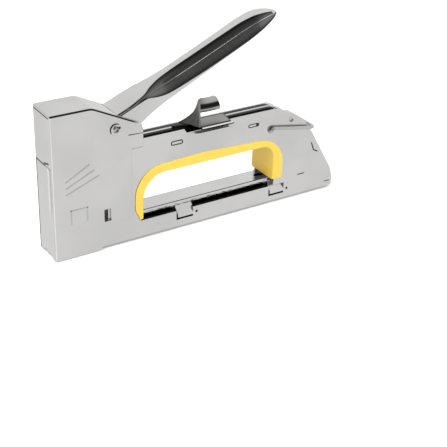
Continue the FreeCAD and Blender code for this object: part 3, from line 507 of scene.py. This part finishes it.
def lever_skin(bm):
    """Outer skin of the folded lever from its root to its rounded tip, with a crisp strip on each fold."""
    shade = bm.verts.layers.float.new("shade")
    first, last = LEVER_SECTIONS[0][0], LEVER_SECTIONS[-1][0]
    count = 84
    rows = []
    for step in range(count + 1):
        t = step / count
        along = first + (last - first) * (1 - (1 - t) ** 1.35)
        half_top, top, half_side, side, half_low, low, foot = lever_at(along)
        corners = [Vector((half_low, low)), Vector((half_side, side)), Vector((half_top, top))]
        leaf = min(max((along - 24.0) / 6.0, 0.0), 1.0)
        fade = min(max((last - along) / 8.0, 0.0), 1.0)
        widths = [0.14 + 0.14 * leaf, 0.05 + 0.10 * leaf * fade, 0.34 - 0.14 * leaf]
        upper, lower = corners[2] - corners[1], corners[1] - corners[0]
        crown = Vector((0.0, top + 0.16))
        # the second value of each point is its shade: the side's painted dark reflection deepens towards the
        # folds
        points = [
            (Vector((half_low, foot)), 1.0),
            (corners[0] - Vector((0.0, min(widths[0], (low - foot) * 0.4))), 1.0),
            (corners[0] + lower.normalized() * min(widths[0], lower.length * 0.2), 0.05),
            (corners[0] + lower * 0.28, 0.75),
            (corners[0] + lower * 0.6, 1.0),
            (corners[1] - lower.normalized() * min(widths[1], lower.length * 0.2), 0.8),
            (corners[1] + upper.normalized() * min(widths[1], upper.length * 0.2), 0.8),
            (corners[1] + upper * 0.5, 0.55),
            (corners[2] - upper.normalized() * min(widths[2], upper.length * 0.2), 0.0),
            (corners[2] + (crown - corners[2]) * (widths[2] / max(half_top, 0.5)), 1.0),
            (corners[2] + (crown - corners[2]) * 0.5, 1.0),
        ]
        left = [(Vector((-point.x, point.y)), value) for point, value in reversed(points)]
        row = []
        for point, value in points + [(crown, 1.0)] + left:
            vert = bm.verts.new(LEVER_PLACE @ (Vector((along, point.x, point.y)) * MM))
            vert[shade] = value
            row.append(vert)
        rows.append(row)
    per_row = len(rows[0]) - 1
    # material slots: 0 plain plate, 1 the side's painted dark reflection, 2 plain plate on the ridge, 3
    # painted dark reflections on the folds
    kinds = [0, 3, 1, 1, 1, 2, 1, 1, 3, 0, 0]
    kinds = kinds + kinds[::-1]
    # near the tip the upper side and the top folds keep the plain plate, without the painted dark reflection
    tip = round(count * 0.93)
    for index, face in enumerate(grid_faces(bm, rows)):
        step, column = divmod(index, per_row)
        bright_end = step >= tip and 6 <= column < per_row - 6
        face.material_index = 0 if bright_end else kinds[column]
    end = rows[-1]
    middle = len(end) // 2
    for index in range(middle):
        other = len(end) - 1 - index
        if index + 1 < middle:
            bm.faces.new((end[index], end[index + 1], end[other - 1], end[other]))
        else:
            bm.faces.new((end[index], end[middle], end[other]))


lever = new_piece("lever_skin", lever_skin, [LEVER_PLATE, LEAF_PAINTED_REFLECTION, LEVER_PLATE, FOLD_PAINTED_REFLECTION], "lever",
                  smooth=14.0)
thickness = lever.modifiers.new("sheet", "SOLIDIFY")
thickness.thickness = LEVER_SHEET * MM
thickness.offset = -1.0
thickness.use_even_offset = True
lever.visible_glossy = False
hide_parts("lever")


# --------------------------------------------------------------------------- slider

PLATE_TOP = 54.5            # top of the slider's plate
SLIDER_SHEET = 0.8


def slider_plate(bm):
    """Base plate with a tongue towards the head."""
    outline = [(82.0, -9.0), (99.8, -9.0), (100.2, -8.6), (101.8, 0.7), (82.0, 0.7), (70.4, 0.7), (70.0, 0.2),
               (70.0, -0.8), (70.4, -1.2), (79.5, -2.4), (81.2, -3.4), (82.0, -5.0)]
    top = [bm.verts.new(at(x, y, PLATE_TOP)) for x, y in outline]
    low = [bm.verts.new(at(x, y, PLATE_TOP - SLIDER_SHEET)) for x, y in outline]
    bm.faces.new(top)
    bm.faces.new(low[::-1])
    for index in range(len(outline)):
        after = (index + 1) % len(outline)
        bm.faces.new((top[index], low[index], low[after], top[after]))


def slider_web(bm):
    """Gusset that sweeps up from the plate's front to the tab, with a painted dark reflection, lightest along
    its near edge.
    """
    shade = bm.verts.layers.float.new("shade")
    columns = [  # share of the way across, shade
        (0.0, 1.0), (0.05, 0.9), (0.12, 0.25), (0.3, 0.35), (0.5, 0.2), (0.7, 0.3), (0.85, 0.15), (1.0, 0.05),
    ]
    near = [(82.0, -8.8, 54.4), (83.0, -6.7, 56.6), (84.1, -4.4, 59.4),
            (85.2, -2.1, 62.4), (86.2, -0.2, 65.2)]
    far = [(75.0, 1.5, 54.4), (81.0, 1.6, 56.6), (84.3, 1.6, 58.8), (86.0, 1.5, 62.2), (86.7, 1.2, 65.2)]
    steps = 16
    levels = [k / (len(near) - 1) for k in range(len(near))]
    rows = []
    for step in range(steps + 1):
        t = step / steps
        a = Vector([hermite(levels, [p[k] for p in near], t) for k in range(3)])
        b = Vector([hermite(levels, [p[k] for p in far], t) for k in range(3)])
        row = []
        for share, value in columns:
            vert = bm.verts.new(at(*(a + (b - a) * share)))
            vert[shade] = value * (0.55 + 0.45 * t)
            row.append(vert)
        rows.append(row)
    grid_faces(bm, rows)


def slider_tab(bm):
    """Upright thumb tab: its top leans back, its foot turns forward, its corners are rounded; a painted dark
    reflection crosses its middle.
    """
    shade = bm.verts.layers.float.new("shade")
    profile = [  # height, across, shade
        (58.3, -0.9, 1.0), (59.0, -1.05, 1.0), (59.8, -1.1, 0.95), (60.2, -1.1, 0.05), (60.9, -1.0, 0.0),
        (61.9, -0.75, 0.0), (62.4, -0.6, 0.1), (62.8, -0.45, 0.75), (63.8, 0.05, 0.85), (64.7, 0.6, 0.9),
        (65.3, 1.05, 1.0),
    ]
    columns = 14
    rows = []
    for height, offset, value in profile:
        share = (height - 58.3) / 7.0
        round_off = 1.3 * max(0.0, (share - 0.82) / 0.18) ** 2 + 0.5 * max(0.0, (0.08 - share) / 0.08) ** 2
        start, end = 86.2 + round_off, 98.8 - 2.0 * share - round_off
        row = []
        for column in range(columns + 1):
            t = column / columns
            vert = bm.verts.new(at(start + (end - start) * t, offset + 0.5 * (2 * t - 1) ** 2, height))
            vert[shade] = value
            row.append(vert)
        rows.append(row)
    grid_faces(bm, rows)


def add_sheet(piece, thickness, offset=0.0):
    modifier = piece.modifiers.new("sheet", "SOLIDIFY")
    modifier.thickness = thickness * MM
    modifier.offset = offset
    modifier.use_even_offset = True
    bevel(piece, 0.12 * MM, 2, 40.0)


def slider_strip(bm, start, end, section):
    """A straight strip along the slider's near edge; section holds (across, height) points."""
    rows = [[bm.verts.new(at(station, y, z)) for y, z in section] for station in (start, end)]
    grid_faces(bm, rows, closed=True)
    bm.faces.new(rows[0])
    bm.faces.new(rows[1][::-1])


def slider_lip(bm):
    """Lip turned down along the plate's near edge, brightened as a painted highlight."""
    slider_strip(bm, 82.6, 101.0, [(-9.1, 54.05), (-9.5, 53.9), (-9.6, 53.45), (-8.9, 53.45)])


def slider_shadow_strip(bm):
    """A near-black strip under the lip, against the left shell, as a painted shadow."""
    slider_strip(bm, 82.2, 101.4, [(-8.9, 53.45), (-9.62, 53.45), (-9.66, 52.85), (-8.9, 52.85)])


plate = new_piece("slider_plate", slider_plate, [PLATE_STEEL], "slider")
bevel(plate, 0.15 * MM, 2, 40.0)
new_piece("slider_lip", slider_lip, [LIP_PAINTED_HIGHLIGHT], "slider")
new_piece("slider_shadow_strip", slider_shadow_strip, [LIP_PAINTED_SHADOW], "slider")
web = new_piece("slider_web", slider_web, [WEB_STEEL], "slider", 40.0)
add_sheet(web, SLIDER_SHEET)
tab = new_piece("slider_tab", slider_tab, [TAB_STEEL], "slider", 40.0)
add_sheet(tab, SLIDER_SHEET)
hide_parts("power_slider")


# --------------------------------------------------------------------------- raised marks on the head

HEAD_HALF = 9.8
MARK_RISE = 0.14
MARK_FOOT, MARK_CREST = 0.45, 0.2       # half widths at the skin and along the crest
STAPLE_MARK = [((9.0, 19.0), (9.0, 26.0)), ((9.0, 26.0), (17.5, 26.0)), ((17.5, 26.0), (17.5, 19.0))]
RIBS = [((7.0, 35.0 + 3.4 * k), (24.0 - 2.5 * k, 41.5 + 3.4 * k)) for k in range(3)]


def head_marks(bm):
    """Plain slanted ribs and a staple's outline, raised on both sides of the head."""
    for side in (-1, 1):
        for start, end in STAPLE_MARK + RIBS:
            run = Vector(end) - Vector(start)
            along = run.normalized()
            aside = Vector((-along.y, along.x))
            rings = []
            for half, level in ((MARK_FOOT, HEAD_HALF - 0.1), (MARK_FOOT, HEAD_HALF + 0.02),
                                (MARK_CREST, HEAD_HALF + MARK_RISE)):
                corners = [Vector(start) - along * half - aside * half,
                           Vector(end) + along * half - aside * half,
                           Vector(end) + along * half + aside * half,
                           Vector(start) - along * half + aside * half]
                rings.append([bm.verts.new(at(c.x, side * level, c.y)) for c in corners])
            grid_faces(bm, rings, closed=True)
            bm.faces.new(rings[0])
            bm.faces.new(rings[2][::-1])


new_piece("head_marks", head_marks, [MARK_PAINTED_SHADE], "frame")


# --------------------------------------------------------------------------- springs

def coil(node, body):
    """A copy of a CAD coil riding on a body, in place of the CAD coil, which is hidden."""
    source = nodes[node]
    piece = bpy.data.objects.new(node + "_coil", source.data.copy())
    scene.collection.objects.link(piece)
    piece.matrix_world = source.matrix_world.copy()
    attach(piece, body)
    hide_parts(node)
    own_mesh(piece)


coil("main_spring", "frame")
coil("pusher_spring", "loader")


# --------------------------------------------------------------------------- camera

AZIMUTH, ELEVATION, ROLL = math.radians(-33.916), math.radians(28.833), math.radians(2.219)
back = Vector((math.sin(AZIMUTH) * math.cos(ELEVATION), -math.cos(AZIMUTH) * math.cos(ELEVATION),
               math.sin(ELEVATION)))
right = Vector((math.cos(AZIMUTH), math.sin(AZIMUTH), 0.0))
up = back.cross(right)
camera = bpy.data.objects.new("camera", bpy.data.cameras.new("camera"))
scene.collection.objects.link(camera)
across = right * math.cos(ROLL) + up * math.sin(ROLL)
upward = up * math.cos(ROLL) - right * math.sin(ROLL)
turn = Matrix((across, upward, back)).transposed()
camera.matrix_world = Matrix.Translation((-0.2608, -0.4159, 0.2649)) @ turn.to_4x4()
camera.data.lens = 83.97
camera.data.sensor_width = 36.0
camera.data.clip_start = 0.01
scene.camera = camera


# --------------------------------------------------------------------------- floor, world and lights

def floor_material():
    material, tree = new_material("pale_floor")
    tone = tree.mix(tree.ramp(tree.noise(6.0, 2.0), 0.3, 0.7), grey(0.93), grey(0.95))
    shader = tree.add("ShaderNodeBsdfPrincipled",
                      {"Base Color": tone, "Roughness": 0.9, "Specular IOR Level": 0.1})
    output = tree.add("ShaderNodeOutputMaterial")
    tree.put(output.inputs[0], shader.outputs[0])
    return material


def floor_mesh(bm):
    bmesh.ops.create_grid(bm, x_segments=8, y_segments=8, size=4.0)


floor_data = bpy.data.meshes.new("floor")
floor = bpy.data.objects.new("floor", floor_data)
scene.collection.objects.link(floor)
bm = bmesh.new()
floor_mesh(bm)
bm.to_mesh(floor_data)
bm.free()
floor_data.materials.append(floor_material())
floor.location.z = cad_box[0][2] - 0.0003
floor.visible_glossy = False


def studio_world():
    """Soft white tent: dark above and behind the camera, brighter low at the front left."""
    world = bpy.data.worlds.new("studio")
    world.use_nodes = True
    tree = Nodes(world.node_tree)
    ray = tree.add("ShaderNodeTexCoord").outputs["Generated"]
    facing = tree.add("ShaderNodeVectorMath", {0: ray}, operation="NORMALIZE").outputs[0]

    def towards(direction, inner, outer):
        """1 within inner degrees of a direction, falling to 0 at outer degrees."""
        aim = Vector(direction).normalized()
        dot = tree.add("ShaderNodeVectorMath", {0: facing, 1: aim}, operation="DOT_PRODUCT").outputs["Value"]
        return tree.ramp(dot, math.cos(math.radians(outer)), math.cos(math.radians(inner)))

    parts = tree.add("ShaderNodeSeparateXYZ", {"Vector": facing})
    # the unlit side of the room: in front, above the horizon and left of the window
    dark = tree.math("MULTIPLY", tree.ramp(parts.outputs["X"], 0.24, 0.36, 1.0, 0.0),
                     tree.math("MULTIPLY", tree.ramp(parts.outputs["Z"], 0.02, 0.12),
                               tree.ramp(parts.outputs["Y"], -0.40, -0.20, 1.0, 0.0)))
    strength = tree.math("MULTIPLY", 0.80, tree.math("SUBTRACT", 1.0, tree.math("MULTIPLY", dark, 0.72)))
    strip = towards((0.02, -0.78, 0.62), 2.0, 5.0)
    corner = towards((-0.80, -0.35, -0.48), 6.0, 16.0)
    strength = tree.math("ADD", strength, tree.math("MULTIPLY", strip, 2.5))
    strength = tree.math("ADD", strength, tree.math("MULTIPLY", corner, 0.45))
    background = tree.add("ShaderNodeBackground", {"Color": grey(1.0), "Strength": strength})
    output = tree.add("ShaderNodeOutputWorld")
    tree.put(output.inputs[0], background.outputs[0])
    return world


scene.world = studio_world()


def area_light(name, place, aim, size, power):
    data = bpy.data.lights.new(name, "AREA")
    data.shape = "RECTANGLE"
    data.size, data.size_y = size
    data.energy = power
    light = bpy.data.objects.new(name, data)
    scene.collection.objects.link(light)
    direction = Vector(aim) - Vector(place)
    light.matrix_world = Matrix.Translation(place) @ direction.to_track_quat("-Z", "Y").to_matrix().to_4x4()
    light.visible_glossy = False


area_light("key", (-0.5, -0.3, 0.9), (0.0, 0.0, 0.04), (0.7, 0.7), 9.0)
area_light("fill", (0.6, -0.6, 0.7), (0.0, 0.0, 0.04), (0.8, 0.8), 5.0)
area_light("top", (0.1, 0.5, 1.0), (0.0, 0.0, 0.0), (1.0, 1.0), 7.0)
scene.view_settings.view_transform = "Standard"
